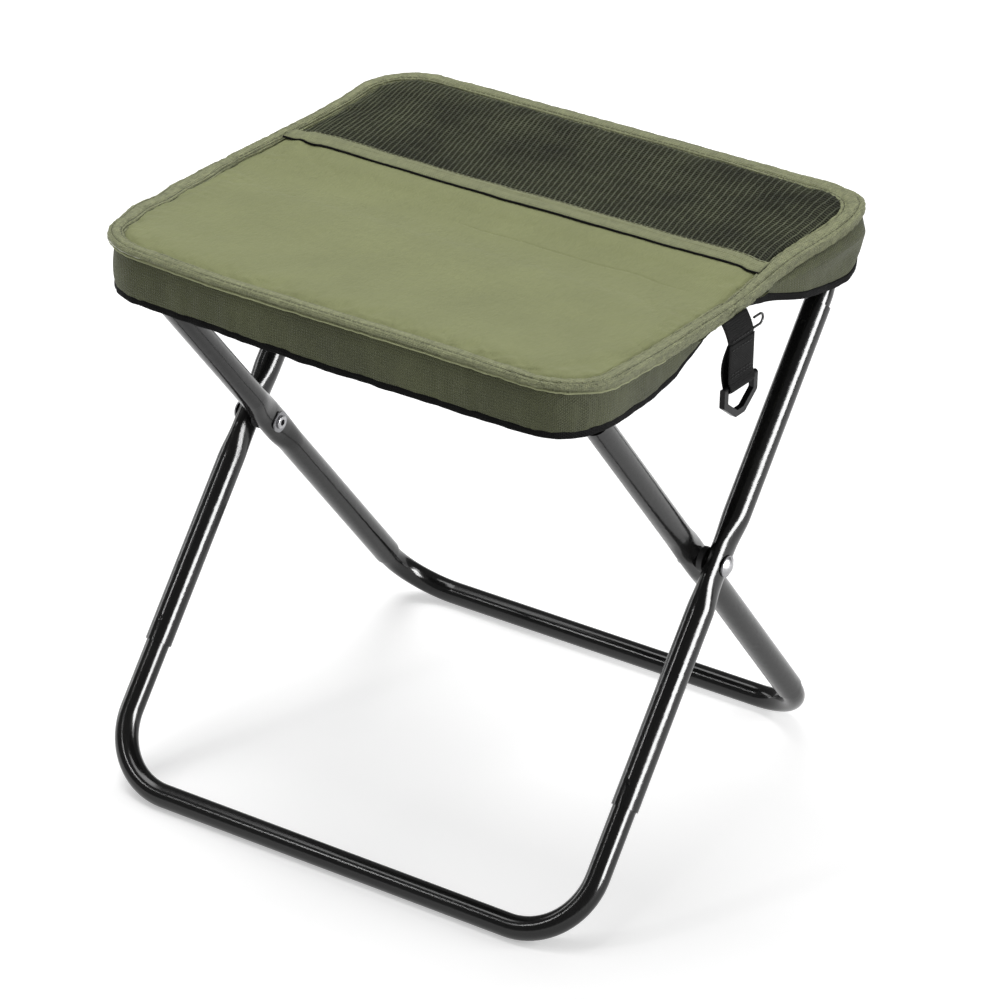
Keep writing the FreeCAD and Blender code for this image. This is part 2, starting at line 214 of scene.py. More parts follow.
def mesh_object(name, points, faces, materials, face_slots=None):
    """A smooth-shaded mesh object from points in millimetres."""
    mesh = bpy.data.meshes.new(name)
    mesh.from_pydata((np.asarray(points).reshape(-1, 3) * MM).tolist(), [], faces)
    for material in materials:
        mesh.materials.append(material)
    if face_slots is not None:
        mesh.polygons.foreach_set("material_index", face_slots)
    work = bmesh.new()
    work.from_mesh(mesh)
    bmesh.ops.recalc_face_normals(work, faces=work.faces)
    work.to_mesh(mesh)
    work.free()
    mesh.shade_smooth()
    piece = bpy.data.objects.new(name, mesh)
    bpy.context.scene.collection.objects.link(piece)
    return piece


def sweep(name, sections, materials, slot_of=lambda column: 0):
    """Closed solid through a row of closed sections, with flat ends."""
    sections = np.asarray(sections)
    rows, columns = sections.shape[:2]
    faces = grid_faces(rows, columns, closed=True)
    slots = [slot_of(k % columns) for k in range(len(faces))] + [slot_of(0)] * 2
    faces.append(tuple(range(columns)))
    faces.append(tuple((rows - 1) * columns + j for j in range(columns)))
    return mesh_object(name, sections, faces, materials, slots)


def attach(piece, body, slot, *stands_for):
    """Say which body a piece rides on, and hide the CAD nodes it stands for; its kind is not used."""
    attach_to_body(piece, body)
    if stands_for:
        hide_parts(*stands_for)


def tubes(name, body, slot, paths, radius, material, around=5, flat=1.0):
    """One piece of many thin threads, each along its own points; flat below 1 makes them oval."""
    points = []
    faces = []
    angles = np.linspace(0, 2 * math.pi, around, endpoint=False)
    for path in paths:
        path = np.asarray(path, float)
        tangent = directions(path)
        up = np.array([0.0, 0.0, 1.0])
        if abs(tangent[:, 2]).mean() > 0.8:
            up = np.array([1.0, 0.0, 0.0])
        side = np.cross(tangent, up)
        side /= np.linalg.norm(side, axis=1)[:, None]
        over = np.cross(side, tangent)
        start = len(points)
        widths = np.broadcast_to(radius, len(path))
        for k in range(len(path)):
            for angle in angles:
                out = math.cos(angle) * side[k] + flat * math.sin(angle) * over[k]
                points.append(path[k] + widths[k] * out)
        rings = grid_faces(len(path), around, closed=True)
        faces += [tuple(start + i for i in face) for face in rings]
        faces.append(tuple(start + j for j in range(around)))
        faces.append(tuple(start + (len(path) - 1) * around + j for j in range(around)))
    piece = mesh_object(name, points, faces, [material])
    attach(piece, body, slot)


# ---- materials

class Shader:
    """A node material in the making."""

    def __init__(self, name):
        self.material = bpy.data.materials.new(name)
        self.material.use_nodes = True
        self.tree = self.material.node_tree
        self.tree.nodes.clear()
        output = self.add("OutputMaterial")
        self.principled = self.add("BsdfPrincipled")
        self.link(self.principled.outputs[0], output.inputs["Surface"])
        self.place = self.add("TexCoord").outputs["Object"]

    def add(self, kind, inputs=None, **settings):
        node = self.tree.nodes.new("ShaderNode" + kind)
        for key, value in settings.items():
            setattr(node, key, value)
        for key, value in (inputs or {}).items():
            if isinstance(value, bpy.types.NodeSocket):
                self.link(value, node.inputs[key])
            else:
                node.inputs[key].default_value = value
        return node

    def link(self, source, target):
        self.tree.links.new(source, target)

    def math(self, operation, first, second=0.0):
        return self.add("Math", {0: first, 1: second}, operation=operation).outputs[0]

    def scaled(self, value, factor, offset):
        """The value times a factor, plus an offset."""
        inputs = {0: value, 1: factor, 2: offset}
        return self.add("Math", inputs, operation="MULTIPLY_ADD").outputs[0]

    def noise(self, per_metre, detail=2.0, stretch=(1, 1, 1), roughness=0.5):
        mapped = self.add("Mapping", {"Vector": self.place, "Scale": stretch})
        return self.add("TexNoise", {"Vector": mapped.outputs[0], "Scale": per_metre,
                                     "Detail": detail, "Roughness": roughness}).outputs[0]

    def ramp(self, factor, stops):
        node = self.add("ValToRGB", {0: factor})
        elements = node.color_ramp.elements
        elements[0].position, elements[0].color = stops[0][0], (*stops[0][1], 1)
        elements[1].position, elements[1].color = stops[-1][0], (*stops[-1][1], 1)
        for position, colour in stops[1:-1]:
            elements.new(position).color = (*colour, 1)
        return node.outputs[0]

    def weave(self, pitch):
        """Woven relief that needs no flattening: three crossing sets of threads."""
        scale = math.pi / (pitch * MM)
        axes = self.add("SeparateXYZ", {0: self.place})
        threads = [self.math("SINE", self.math("MULTIPLY", axes.outputs[i], scale)) for i in range(3)]
        pairs = [self.math("MULTIPLY", threads[i], threads[(i + 1) % 3]) for i in range(3)]
        return self.math("ADD", self.math("ADD", pairs[0], pairs[1]), pairs[2])

    def bump(self, height, distance, normal=None):
        inputs = {"Height": height, "Distance": distance}
        if normal is not None:
            inputs["Normal"] = normal
        return self.add("Bump", inputs).outputs[0]

    def finish(self, colour, roughness, normal, **constants):
        for socket, value in (("Base Color", colour), ("Roughness", roughness), ("Normal", normal)):
            if isinstance(value, bpy.types.NodeSocket):
                self.link(value, self.principled.inputs[socket])
            elif value is not None:
                self.principled.inputs[socket].default_value = value
        for key, value in constants.items():
            self.principled.inputs[key.replace("_", " ")].default_value = value
        return self.material


def shade(colour, factor):
    return tuple(channel * factor for channel in colour)


def fabric(name, colour, pitch=0.55, weave_depth=0.05, crease_depth=0.25, sheen=0.12, spread=0.12,
           crease_shade_streaks=None, gloss=0.18):
    """Woven cloth: threads, fine creases that run front to back, and uneven tone; streaked tone is painted
    crease shade.
    """
    shader = Shader(name)
    # streaked tone: dark and light lines along and across the cloth, painted shade of its creases
    if crease_shade_streaks:
        lengthwise = shader.noise(crease_shade_streaks, 3, (1, 0.22, 1), 0.6)
        crosswise = shader.noise(crease_shade_streaks, 3, (0.22, 1, 1), 0.6)
        patches = shader.math("MULTIPLY", shader.math("ADD", lengthwise, crosswise), 0.5)
    else:
        patches = shader.noise(28, 3)
    threads = shader.weave(pitch)
    fine = shader.noise(900, 2, (1, 0.35, 1))
    mixed = shader.math("ADD", shader.math("MULTIPLY", patches, 0.6), shader.math("MULTIPLY", fine, 0.4))
    darker, lighter = shade(colour, 1 - spread), shade(colour, 1 + spread)
    tone = shader.ramp(mixed, [(0.3, darker), (0.5, colour), (0.7, lighter)])
    roughness = shader.scaled(patches, 0.16, 0.62)
    creases = shader.noise(260, 3, (1, 0.28, 1), 0.6)
    normal = shader.bump(creases, crease_depth * MM)
    normal = shader.bump(threads, weave_depth * MM, normal)
    return shader.finish(tone, roughness, normal, Sheen_Weight=sheen, Sheen_Roughness=0.5,
                         Specular_IOR_Level=gloss)


def painted_steel():
    """Black gloss enamel with a faint orange peel and fine scuffs."""
    shader = Shader("black_enamel")
    scuffs = shader.noise(900, 5, (1, 1, 0.25), 0.7)
    dust = shader.noise(40, 4)
    mixed = shader.math("MULTIPLY", scuffs, dust)
    tone = shader.ramp(mixed, [(0.2, (0.0055, 0.0055, 0.0055)), (0.55, (0.012, 0.012, 0.0115))])
    roughness = shader.scaled(mixed, 0.25, 0.12)
    normal = shader.bump(shader.noise(700, 2), 0.012 * MM)
    return shader.finish(tone, roughness, normal, Specular_IOR_Level=0.42)


def metal(name, colour, roughness):
    shader = Shader(name)
    grain = shader.noise(1500, 4, (0.2, 1, 1))
    tone = shader.ramp(grain, [(0.3, shade(colour, 0.8)), (0.7, colour)])
    uneven = shader.scaled(grain, 0.2, roughness)
    return shader.finish(tone, uneven, shader.bump(grain, 0.02 * MM), Metallic=1.0)


def plastic(name, colour, roughness, grain_depth=0.03, gloss=0.5):
    shader = Shader(name)
    grain = shader.noise(1800, 3)
    worn = shader.noise(60, 3)
    tone = shader.ramp(worn, [(0.3, colour), (0.8, shade(colour, 1.5))])
    uneven = shader.scaled(worn, 0.2, roughness)
    return shader.finish(tone, uneven, shader.bump(grain, grain_depth * MM), Specular_IOR_Level=gloss)


def board():
    """Pressed fibre board."""
    shader = Shader("fibre_board")
    fibres = shader.noise(500, 5, (1, 0.3, 1), 0.7)
    tone = shader.ramp(fibres, [(0.3, (0.16, 0.10, 0.055)), (0.7, (0.30, 0.20, 0.12))])
    return shader.finish(tone, 0.8, shader.bump(fibres, 0.1 * MM))


def webbing_material():
    """Black woven webbing: cross ribs with a fine thread grain."""
    shader = Shader("black_webbing")
    axes = shader.add("SeparateXYZ", {0: shader.place})
    ribs = shader.math("SINE", shader.math("MULTIPLY", axes.outputs[2], 2 * math.pi / (1.1 * MM)))
    threads = shader.weave(0.5)
    grain = shader.noise(300, 3)
    tone = shader.ramp(grain, [(0.3, (0.002, 0.002, 0.002)), (0.7, (0.005, 0.005, 0.005))])
    normal = shader.bump(shader.math("ADD", ribs, threads), 0.06 * MM)
    return shader.finish(tone, 0.7, normal, Specular_IOR_Level=0.10)


OLIVE = (0.203, 0.218, 0.099)
OLIVE_BAND = (0.209, 0.221, 0.121)
# the skirts' olive is a darker copy of the seat's olive: painted shade on the side walls
OLIVE_SKIRT_SHADED = (0.079, 0.086, 0.041)
OLIVE_HEM = (0.188, 0.200, 0.106)
BLACK_CLOTH = (0.0045, 0.0045, 0.0045)
# pale grey olive of the corner cord: a painted highlight
HIGHLIGHT_OLIVE = (0.62, 0.63, 0.52)
NET_GROUND = (0.0135, 0.0145, 0.0068)
# the ribs are lighter than the ground partly in their own olive and partly as a painted highlight on their
# crests
NET_RIB_AND_HIGHLIGHT = (0.068, 0.075, 0.042)

olive_top = fabric("olive_oxford", OLIVE, crease_depth=0.9, spread=0.07)
# the rim band's streaked, widely spread tone is painted shade of its creases
olive_band = fabric("olive_band", OLIVE_BAND, pitch=0.8, weave_depth=0.14, crease_depth=0.5, spread=0.42,
                    crease_shade_streaks=420)
# the skirt's wide, patchy tone is partly painted shade in its puckers
olive_skirt_shaded = fabric("olive_skirt_shaded", OLIVE_SKIRT_SHADED, pitch=0.8, weave_depth=0.12, crease_depth=0.3, spread=0.3)
# the hem's streaked tone is painted shade of its creases
olive_hem = fabric("olive_hem", OLIVE_HEM, pitch=0.7, weave_depth=0.08, crease_depth=0.4, spread=0.25,
                   crease_shade_streaks=300)
# both cord colours are lighter copies of the rim's olive: painted highlights at a corner and along the seam
pale_highlight_cord = fabric("pale_painted_highlight_cord", HIGHLIGHT_OLIVE, pitch=0.4, weave_depth=0.05, crease_depth=0.05)
edge_cord = fabric("olive_edge_cord_painted_highlight", shade(OLIVE_BAND, 1.7), pitch=0.4, weave_depth=0.05, crease_depth=0.05)
olive_thread = fabric("olive_thread", shade(OLIVE_BAND, 0.45), pitch=0.3, weave_depth=0.03, crease_depth=0.05)
black_cloth = fabric("black_lining", BLACK_CLOTH, pitch=0.5, weave_depth=0.06, sheen=0.02, spread=0.35,
                     gloss=0.08)
black_tape = fabric("black_binding", shade(BLACK_CLOTH, 0.8), pitch=0.8, weave_depth=0.08, sheen=0.0,
                    spread=0.3, gloss=0.06)
black_thread = fabric("black_thread", shade(BLACK_CLOTH, 2.2), pitch=0.3, weave_depth=0.03, crease_depth=0.05)
net_dark = fabric("net_ground", NET_GROUND, pitch=0.9, weave_depth=0.12, sheen=0.0, spread=0.4)
# the ribs' wide spread of tone is painted highlight that varies from rib to rib
net_rib_and_highlight = fabric("net_rib_and_highlight", NET_RIB_AND_HIGHLIGHT, pitch=0.6, weave_depth=0.1, sheen=0.1, spread=0.6)
black_paint = painted_steel()
bright_steel = metal("zinc_steel", (0.40, 0.40, 0.41), 0.22)
washer_steel = metal("dark_steel", (0.25, 0.25, 0.26), 0.3)
black_nylon = plastic("black_nylon", (0.012, 0.012, 0.012), 0.45)
gloss_plastic = plastic("gloss_black_plastic", (0.004, 0.004, 0.0045), 0.22, 0.012, gloss=0.2)
black_wire = plastic("coated_wire", (0.008, 0.008, 0.008), 0.25, 0.01)
fibre_board = board()
webbing_black = webbing_material()

NODE_MATERIALS = {
    "pivot_rivets": bright_steel,
    "outer_rivet_washers": washer_steel,
    "inner_rivet_washers": washer_steel,
    "pivot_spacers": black_nylon,
    "front_board": fibre_board,
    "rear_board": fibre_board,
    "wire_loop": black_wire,
    "strap_ring": gloss_plastic,
}
for bar_name in ("leg_right", "leg_left", "foot_bar", "seat_bar"):
    NODE_MATERIALS["outer_" + bar_name] = black_paint
    NODE_MATERIALS["inner_" + bar_name] = black_paint


def dress_nodes():
    """The CAD nodes that stay get their material, and a soft edge where they are moulded."""
    for name, material in NODE_MATERIALS.items():
        node = frame["nodes"][name]
        node.data.materials.clear()
        node.data.materials.append(material)
    bevel = frame["nodes"]["strap_ring"].modifiers.new("moulded_edge", "BEVEL")
    bevel.width = 0.5 * MM
    bevel.segments = 3
    bevel.limit_method = "ANGLE"


# ---- sheets and rows of stitches

def sewn_edge(inset):
    """Half width, edge v and corner radius of a panel sewn this far inside the half's edge."""
    return HALF_X - inset, EDGE_V - inset, CORNER_R - inset


def half_width(v, inset):
    """Half width at v of a panel with rounded outer corners."""
    x_side, v_edge, r = sewn_edge(inset)
    return x_side - r + np.sqrt(np.maximum(r * r - np.maximum(v - v_edge + r, 0) ** 2, 0))


def panel_grid(columns, rows, inset, start_v=FOLD_V, crowded=0.0):
    """Plan of a panel: rows from start_v, where they may crowd, to the outer seam; columns across."""
    _, v_edge, r = sewn_edge(inset)
    corner_rows = int(rows * 0.28)
    share = np.linspace(0, 1, rows - corner_rows)
    share = share * (1 - crowded) + share ** 2.5 * crowded
    straight = start_v + (v_edge - r - start_v) * share
    curved = v_edge - r + r * np.sin(np.linspace(0, math.pi / 2, corner_rows + 1)[1:])
    v = np.concatenate([straight, curved])
    x = half_width(v, inset)[:, None] * np.linspace(-1, 1, columns)[None, :]
    return x, np.repeat(v[:, None], columns, axis=1)


def edge_distance(x, v, inset):
    """Distance in from a panel's seam; the fold line isn't an edge."""
    x_side, v_edge, r = sewn_edge(inset)
    dx = np.abs(x) - (x_side - r)
    dv = v - (v_edge - r)
    corner = r - np.hypot(np.maximum(dx, 0), np.maximum(dv, 0))
    straight = np.minimum(x_side - np.abs(x), v_edge - v)
    return np.maximum(np.where((dx > 0) | (dv > 0), corner, straight), 0)


def shell(name, upper, lower, materials):
    """Closed thin solid between two grids of points; its underside takes the last material."""
    rows, columns = upper.shape[:2]
    count = rows * columns
    faces = grid_faces(rows, columns)
    slots = [0] * len(faces)
    faces += [tuple(count + i for i in face) for face in grid_faces(rows, columns)]
    slots += [len(materials) - 1] * len(slots)
    border = list(range(columns))
    border += [i * columns + columns - 1 for i in range(1, rows)]
    border += [(rows - 1) * columns + j for j in range(columns - 2, -1, -1)]
    border += [i * columns for i in range(rows - 2, 0, -1)]
    for k, a in enumerate(border):
        b = border[(k + 1) % len(border)]
        faces.append((a, b, count + b, count + a))
        slots.append(0)
    points = np.concatenate([upper.reshape(-1, 3), lower.reshape(-1, 3)])
    return mesh_object(name, points, faces, materials, slots)


def resampled(line, spacing):
    """A line of points, evenly spaced."""
    steps = np.linalg.norm(np.diff(line, axis=0), axis=1)
    along = np.concatenate([[0], np.cumsum(steps)])
    places = np.arange(0, along[-1], spacing)
    return np.stack([np.interp(places, along, line[:, i]) for i in range(3)], axis=-1)


def stitch_row(line, length=2.6, gap=1.0):
    """Short threads end to end along a line, each a little proud in its middle."""
    fine = resampled(np.asarray(line), 0.2)
    pitch = int(round((length + gap) / 0.2))
    reach = int(round(length / 0.2))
    rows = []
    for start in range(0, len(fine) - reach, pitch):
        rows.append(fine[[start, start + reach // 4, start + 3 * reach // 4, start + reach]])
    return rows


# ---- cushions

CUSHION_INSET = BAND_W - 0.6  # the cushion's seam lies just under the rim's inner edge
SEAM_N = 14.2
CROWN = 1.5
PUFF_LIMIT = 1.0 * MM
PUFF_FRAMES = 20


def cushion_top(x, v):
    """Height of the cushion before it is puffed up: low at the seam, level at the fold."""
    inward = edge_distance(x, v, CUSHION_INSET)
    reach = v - FOLD_V
    rise = 1 - np.exp(-inward / 3.5)
    base = FOLD_N + 0.25 - math.tan(TILT) * reach * np.exp(-reach / 9)
    fold_fade = 1 - np.exp(-(reach / 26) ** 2)
    full = base + CROWN * fold_fade
    return SEAM_N + (full - SEAM_N) * rise


def cushion_floor(x, v):
    """Height of the cushion's underside: flat on the board, thinning to nothing at the fold."""
    flat = PAD_TOP - 3.3
    return np.minimum(np.maximum(flat, folded_floor(v) + 0.35), cushion_top(x, v) - 0.12)


def evaluated(piece):
    return piece.evaluated_get(bpy.context.evaluated_depsgraph_get())


def puff(piece, pinned):
    """Blow the cushion up as cloth held at its seam and floor, then keep a limited share of that."""
    group = piece.vertex_groups.new(name="held")
    for index in np.nonzero(pinned > 0)[0]:
        group.add([int(index)], float(pinned[index]), "REPLACE")
    rest = np.array([vert.co for vert in piece.data.vertices])
    cloth = piece.modifiers.new("fill", "CLOTH")
    settings = cloth.settings
    settings.quality = 6
    settings.mass = 0.15
    settings.tension_stiffness = 25
    settings.compression_stiffness = 18
    settings.shear_stiffness = 8
    settings.bending_stiffness = 0.12
    settings.use_pressure = True
    settings.uniform_pressure_force = 4.0
    settings.shrink_min = -0.022
    settings.effector_weights.gravity = 0.0
    settings.vertex_group_mass = "held"
    cloth.collision_settings.use_self_collision = False
    scene = bpy.context.scene
    for frame_number in range(1, PUFF_FRAMES + 1):
        scene.frame_set(frame_number)
    moved = np.array([vert.co for vert in evaluated(piece).data.vertices])
    piece.modifiers.remove(cloth)
    scene.frame_set(1)
    step = moved - rest
    length = np.linalg.norm(step, axis=1)
    keep = PUFF_LIMIT * np.tanh(length / PUFF_LIMIT) / np.maximum(length, 1e-9)
    piece.data.vertices.foreach_set("co", (rest + step * keep[:, None]).ravel())
    piece.data.update()


def cushion(half, side):
    """Crowned seat cushion of one half, sewn down along the rim."""
    columns, rows = 121, 59
    x, v = panel_grid(columns, rows, CUSHION_INSET, crowded=0.75)
    top = to_world(side, x, v, cushion_top(x, v))
    floor = to_world(side, x, v, cushion_floor(x, v))
    piece = shell(half + "_cushion", top, floor, [olive_top, black_cloth])
    held = np.ones(2 * rows * columns)
    inward = edge_distance(x, v, CUSHION_INSET).ravel()
    reach = (v - FOLD_V).ravel()
    held[:rows * columns] = 1 - np.minimum(ease((inward - 1.0) / 3), ease((reach - 6.0) / 22))
    puff(piece, held)
    smooth = piece.modifiers.new("smooth", "SUBSURF")
    smooth.levels = 1
    smooth.render_levels = 1
    mesh = bpy.data.meshes.new_from_object(evaluated(piece))
    piece.modifiers.clear()
    piece.data = mesh
    crease(piece, side)
    attach(piece, half + "_seat", "seat_fabric", half + "_pad", half + "_cover", half + "_fold_strip")
    return piece


def crease(piece, side):
    """Fine relief of the cover: puckers in from the seam, slack ripples and one long crease."""
    co = np.array([vert.co for vert in piece.data.vertices]) / MM
    normal = np.array([vert.normal for vert in piece.data.vertices])
    v = (side * co[:, 1] - BAR.y) * math.cos(TILT) + (co[:, 2] - BAR.z) * math.sin(TILT)
    x = co[:, 0]
    inward = edge_distance(np.clip(x, -HALF_X + 11, HALF_X - 11), v, CUSHION_INSET)
    reach = np.maximum(v - FOLD_V, 0)
    angle = np.arctan2(x, v + 60)
    pucker = wave(angle * 150, 3.4, 11 + side) * np.exp(-((inward - 5) / 6) ** 2) * 0.36 * ease(reach / 10)
    lean = x - 0.2 * co[:, 1]
    slack = ripple(lean, co[:, 1], 3.4, 17, 20) * 0.07 * (1 + ripple(x, co[:, 1], 40, 40, 23))
    slack += ripple(lean, co[:, 1], 6, 26, 21) * 0.10 + ripple(lean, co[:, 1], 17, 60, 22) * 0.25
    slack *= ease((inward - 3) / 12) * ease(reach / 16)
    line = np.exp(-((reach - 4.5 - 1.3 * wave(x, 24, 25)) / 0.8) ** 2)
    line *= ease((x + 30) / 30) * ease((140 - x) / 30)
    relief = pucker + slack - (0.5 * line if side == REAR else 0)
    co += normal * (relief * np.maximum(normal[:, 2], 0))[:, None]
    at_fold = reach < 0.7
    co[at_fold, 1] = 0
    piece.data.vertices.foreach_set("co", (co * MM).ravel())
    piece.data.update()
    piece.data.set_sharp_from_angle(angle=math.radians(50))


class Drape:
    """Finds the height of the pieces below a point, so that a sheet can lie on them."""

    def __init__(self, *pieces):
        depsgraph = bpy.context.evaluated_depsgraph_get()
        self.trees = [BVHTree.FromObject(piece, depsgraph) for piece in pieces]

    def lay(self, points, above):
        """The points moved up or down to lie this far above what is under them."""
        laid = np.array(points, float)
        for point in laid.reshape(-1, 3):
            heights = []
            for tree in self.trees:
                hit = tree.ray_cast(Vector((point[0] * MM, point[1] * MM, 1.0)), Vector((0, 0, -1)))[0]
                if hit is not None:
                    heights.append(hit.z / MM)
            if heights:
                point[2] = max(heights) + above
        return laid


# ---- rolled rim

RIM_COLUMNS = 64
RIM_GROOVES = (1.1, 2.05, 2.55)  # angles of the sewn grooves round the roll
RIM_SQUARE = 0.72  # below 1 the roll's section is squarer than an ellipse
CORD_ANGLE = 5.75  # where the cord lies round the roll, and the paler cord at a corner, which is a painted highlight
HIGHLIGHT_CORD_ANGLE = 6.1
FILLER_SHARE = 0.062  # share of the rim's run that each end filler takes


def rim_sections(side, start, stop, low_cut=None, high_cut=None, shrink=0.0):
    """Sections of the rolled rim along the outline, between two shares of its run."""
    x, v, nx, nv, run = outline(1.1)
    chosen = slice(int(start * len(run)), int(math.ceil(stop * len(run))))
    x, v, nx, nv, run = (array[chosen, None] for array in (x, v, nx, nv, run))
    angle = np.linspace(0, 2 * math.pi, RIM_COLUMNS, endpoint=False)[None, :]
    c = np.cos(angle)
    s = np.sin(angle)
    right = ease((x - 60) / 60)
    outer = ease((v + 30) / 50)
    along_front = nv * ease(v / 25)
    left = ease((-x - 60) / 60)
    if side == FRONT:
        broad = 1.5 * right * (1 - outer) + 3.5 * left * ease((25 - v) / 50) * ease((v + 118) / 30)
        thin = 1.3 * along_front
    else:
        broad = 3.5 * right * ease((v + 110) / 60) + 2.0 * along_front
        thin = -0.6 * along_front
    width = BAND_W + broad
    height = 2 * BAND_H - thin
    out = squarish(c, RIM_SQUARE) * (width / 2 - shrink)
    up = squarish(s, RIM_SQUARE) * (height / 2 - shrink)
    seed = 40 + side
    lengthwise = wave(run, 22, seed) * 0.35 * (1 - 0.5 * left)
    across = wave(run, 3.1, seed + 1) * 0.24 + wave(run, 7.5, seed + 2) * 0.26
    across *= 1 - 0.5 * left
    swell = 1 + across * 0.11 * (1 + 0.6 * np.cos(angle * 2))
    swell -= (0.10 * left * np.exp(-((v - FOLD_V) / 4) ** 2) if side == REAR else 0)
    worn = 0.3 + right + 0.8 * left
    folds = wave(angle * 6 + run * 0.03, 1.3, seed + 3) * (0.08 + 0.34 * right + 0.14 * left)
    folds += ripple(run + 3 * angle, 4 * angle, 3.2, 0.9, seed + 4) * 0.24 * worn
    folds += ripple(run, 4 * angle, 1.9, 1.4, seed + 5) * 0.12 * worn
    stitched = sum(np.exp(-((angle - groove) / 0.13) ** 2) for groove in RIM_GROOVES)
    ridge = np.exp(-((angle - CORD_ANGLE) / 0.10) ** 2) - np.exp(-((angle - 5.45) / 0.12) ** 2)
    ridge -= 1.5 * np.exp(-((angle - 6.12) / 0.16) ** 2)
    grow = folds - (0.5 + 0.35 * right + 0.2 * left) * stitched + 0.6 * ridge * along_front * (side == FRONT)
    tucked = 1.8 * np.maximum(-s, 0) * (along_front + 0.6 * left) * (side == FRONT)
    wide = out * swell + c * grow - tucked
    tall = up * swell + s * grow
    inset = width / 2 + 0.1 - lengthwise * 0.6
    px = x - nx * (inset - wide)
    pv = v - nv * (inset - wide)
    pn = BAND_N + np.abs(thin) / 2 + 0.25 * lengthwise + tall
    pn -= 0.25 * np.exp(-((v - FOLD_V) / 5) ** 2) * np.maximum(s, 0)
    floor = folded_floor(pv)
    if low_cut is not None:
        pn = np.maximum(pn, floor + low_cut)
    if high_cut is not None:
        pn = np.minimum(pn, np.maximum(floor + high_cut, BAND_N - BAND_H + 0.1 + shrink))
    pv = np.maximum(pv, FOLD_V + 0.05)
    return to_world(side, px, pv, pn)


def rim_column(angle):
    """The section point at this angle round the roll: 0 is outermost, a quarter turn is on top."""
    return int(round(angle / (2 * math.pi) * RIM_COLUMNS)) % RIM_COLUMNS


def rim(half, side):
    """The rolled rim with its stitching, and end fillers below it."""
    sections = rim_sections(side, 0, 1, low_cut=0.15)
    piece = sweep(half + "_rolled_rim", sections, [olive_band])
    attach(piece, half + "_seat", "rim_piping", half + "_rim")
    rows = []
    for angle in RIM_GROOVES:
        line = sections[3:-3, rim_column(angle)]
        rows += stitch_row(line)
    tubes(half + "_rim_stitches", half + "_seat", "rim_piping", rows, 0.34, olive_thread)
    for end, (start, stop) in {"right": (0, FILLER_SHARE), "left": (1 - FILLER_SHARE, 1)}.items():
        filler = sweep(f"{half}_rim_filler_{end}",
                       rim_sections(side, start, stop, high_cut=0.7, shrink=0.15), [olive_band])
        attach(filler, half + "_seat", "rim_piping")
        anchor = to_world(side, 0, FOLD_V, 16.7) * MM
        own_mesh(filler)


def piping(half, side):
    """Thin cord sewn along the rim's lower outer edge, lying in its shade and lighter than the rim as a
    painted highlight; a pale cord at one corner is a painted highlight.
    """
    sections = rim_sections(side, 0.12, 0.88, low_cut=0.15)
    tubes(half + "_rim_piping_line", half + "_seat", "rim_piping",
          [sections[:, rim_column(CORD_ANGLE)]], 0.55, edge_cord, around=8)
    # the pale corner cord, thickest in its middle, is a painted highlight
    sections = rim_sections(side, 0.70, 0.84, low_cut=0.15)
    thickness = 0.25 + 0.65 * np.sin(np.linspace(0, math.pi, len(sections)))
    tubes(half + "_rim_corner_highlight_cord", half + "_seat", "rim_piping",
          [sections[:, rim_column(HIGHLIGHT_CORD_ANGLE)]], thickness, pale_highlight_cord, around=8)


# ---- skirts, with their binding

SKIRT_TOP_N = 12.2
SKIRT_START_V = FOLD_V + 5.0
SKIRT_T = 1.0
BINDING_H = 4.8
BINDING_SQUARE = 0.55
LEG_CLEARANCE = 7.2  # the rear skirt swells this far out round the outer legs


def lower_edge(side, v):
    """Height of the binding's lower edge at v, as the CAD binding has it, with its corners eased."""
    half = "front" if side == FRONT else "rear"
    points = half_points(half + "_binding", side)
    place = np.round(points[:, 1])
    stations = np.unique(place)
    lowest = np.array([points[place == station, 2].min() for station in stations])
    falling = lowest <= np.minimum.accumulate(lowest)
    stations = np.concatenate([[SKIRT_START_V], stations[falling]])
    lowest = np.concatenate([[folded_floor(SKIRT_START_V) - 1.5], lowest[falling]])
    spread = [-9, -6, -3, 0, 3, 6, 9]
    return sum(np.interp(v + step, stations, lowest) for step in spread) / len(spread)


def skirt_stations(side):
    """Outline stations of a skirt, and the height of its lower edge."""
    x, v, nx, nv, run = (array[:, None] for array in outline(1.8, SKIRT_START_V))
    low = lower_edge(side, v)
    if side == FRONT:
        low = low - 2.2 * ease((x + 80) / 80) * ease(v / 25)
    else:
        low = low + (3.0 + 2.0 * ease((x - 90) / 60)) * np.abs(2 * nx * nv)
    return x, v, nx, nv, run, np.minimum(low, SKIRT_TOP_N - 1.4)


def skirt_out(side, x, v, nx, t, run):
    """How far a skirt stands out from the half's edge at t, 0 at its top and 1 at its foot."""
    seed = 60 + side
    pucker = wave(run, 4.2, seed) * 0.5 + wave(run, 11, seed + 1) * 0.6
    hang = pucker * t * (1.3 - t) * 1.6
    hang += wave(run, 2.3, seed + 2) * 0.18 * np.exp(-((t - 0.1) / 0.12) ** 2)
    if side == FRONT:
        left = ease((-x - 60) / 80)
        return -3.4 - (1.8 + 1.6 * t) * left + 1.5 * np.sin(math.pi * t ** 0.8) + hang
    nx = np.abs(nx)
    turning = 2 * nx * np.sqrt(1 - nx ** 2)
    corner = 4.6 * ease((x - 90) / 60) * turning * ease(t * 1.7) * (1 - 0.9 * ease((t - 0.6) / 0.4))
    round_legs = nx ** 2 * LEG_CLEARANCE * ease(t * (5 - 3.2 * turning))
    round_legs *= ease((v - SKIRT_START_V - 30) / 34)
    return -2.2 + round_legs + corner + 1.4 * (1 - nx) * t + 0.5 * hang


def squash_skirt(piece, side):
    """Gives a skirt a mesh of its own; an anchor point is worked out but not used."""
    high = 15.5 if side == FRONT else 12.5
    anchor = to_world(side, 0, -30, high) * MM
    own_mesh(piece)


